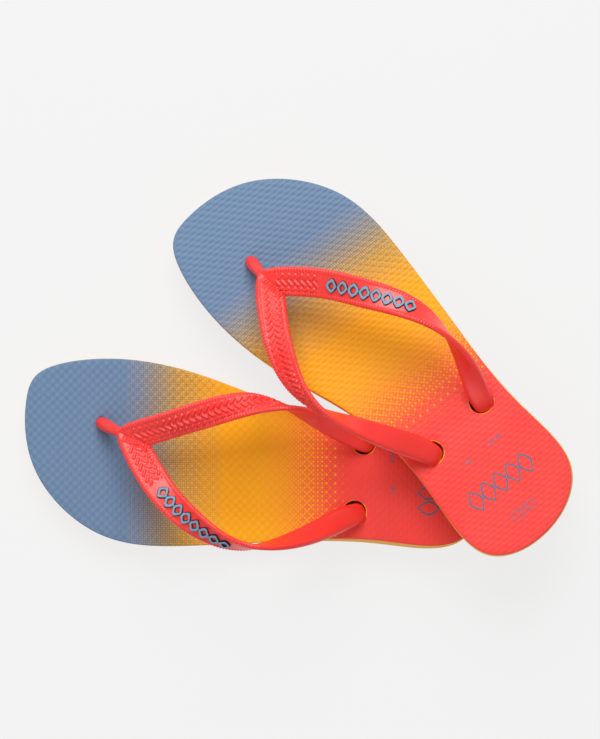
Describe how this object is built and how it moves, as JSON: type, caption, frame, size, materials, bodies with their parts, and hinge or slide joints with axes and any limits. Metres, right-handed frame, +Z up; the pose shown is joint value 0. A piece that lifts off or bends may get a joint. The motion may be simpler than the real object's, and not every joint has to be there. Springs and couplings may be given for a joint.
{
  "type": "thong sandals",
  "caption": "Thong sandals with a foam sole, a printed footbed and a twisted rubber strap held between the toes; the right one lies across the heel of the left one.",
  "frame": {"origin": "middle of the left sandal's length at its centre line, on the underside that stands on the ground", "axes": "+X from the left sandal's toe to its heel, +Y towards its inner side, +Z up"},
  "size_m": [0.3019, 0.2102, 0.0786],
  "materials": {
    "footbed": "printed foam rubber, fine grain",
    "outsole": "matt foam rubber",
    "strap": "satin moulded rubber"
  },
  "bodies": {
    "left_sandal": {"left_footbed": "footbed", "left_outsole": "outsole", "left_strap": "strap"},
    "right_sandal": {"right_footbed": "footbed", "right_outsole": "outsole", "right_strap": "strap"}
  },
  "joints": [
    {"name": "lifts_off", "type": "slide", "parent": "left_sandal", "child": "right_sandal", "axis": [0, 0, 1], "range_m": [0, 0.12]}
  ]
}
